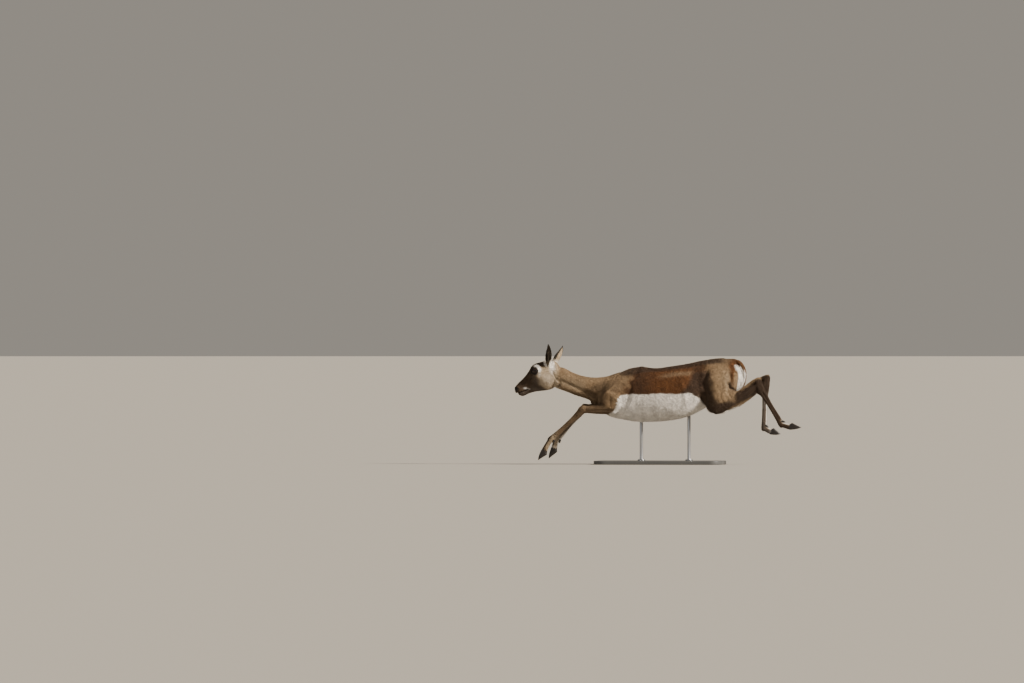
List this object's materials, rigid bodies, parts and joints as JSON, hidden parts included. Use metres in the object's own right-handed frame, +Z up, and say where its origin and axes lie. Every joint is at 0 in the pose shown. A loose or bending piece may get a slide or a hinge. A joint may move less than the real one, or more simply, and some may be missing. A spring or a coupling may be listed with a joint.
{
  "type": "blackbuck doe model",
  "caption": "Still life-size model of a hornless blackbuck doe at full stretch in a leap, held over a flat base by short rods.",
  "frame": {"origin": "middle of the underside of the base", "axes": "+Z up, the head points to -X and the left side to -Y"},
  "size_m": [1.3894, 0.3, 0.5795],
  "materials": {
    "coat": "short flat fur, fawn above and white below",
    "hoof": "satin black horn",
    "eye": "wet dark brown",
    "base_paint": "satin dark paint on board",
    "rod_steel": "brushed"
  },
  "bodies": {
    "root": {"foreleg_left_upper_arm": "coat", "foreleg_left_forearm": "coat", "foreleg_left_cannon": "coat", "foreleg_left_pastern": "coat", "foreleg_left_hoof_inner": "hoof", "foreleg_left_dewclaw_inner": "hoof", "foreleg_left_hoof_outer": "hoof", "foreleg_left_dewclaw_outer": "hoof", "foreleg_right_upper_arm": "coat", "foreleg_right_forearm": "coat", "foreleg_right_cannon": "coat", "foreleg_right_pastern": "coat", "foreleg_right_hoof_inner": "hoof", "foreleg_right_dewclaw_inner": "hoof", "foreleg_right_hoof_outer": "hoof", "foreleg_right_dewclaw_outer": "hoof", "hindleg_left_thigh": "coat", "hindleg_left_shank": "coat", "hindleg_left_cannon": "coat", "hindleg_left_pastern": "coat", "hindleg_left_hoof_inner": "hoof", "hindleg_left_dewclaw_inner": "hoof", "hindleg_left_hoof_outer": "hoof", "hindleg_left_dewclaw_outer": "hoof", "hindleg_right_thigh": "coat", "hindleg_right_shank": "coat", "hindleg_right_cannon": "coat", "hindleg_right_pastern": "coat", "hindleg_right_hoof_inner": "hoof", "hindleg_right_dewclaw_inner": "hoof", "hindleg_right_hoof_outer": "hoof", "hindleg_right_dewclaw_outer": "hoof", "ear_left": "coat", "eye_left": "eye", "ear_right": "coat", "eye_right": "eye", "head": "coat", "neck": "coat", "tail": "coat", "stand_base": "base_paint", "stand_rod_front": "rod_steel", "stand_rod_rear": "rod_steel", "torso": "coat"}
  },
  "joints": []
}
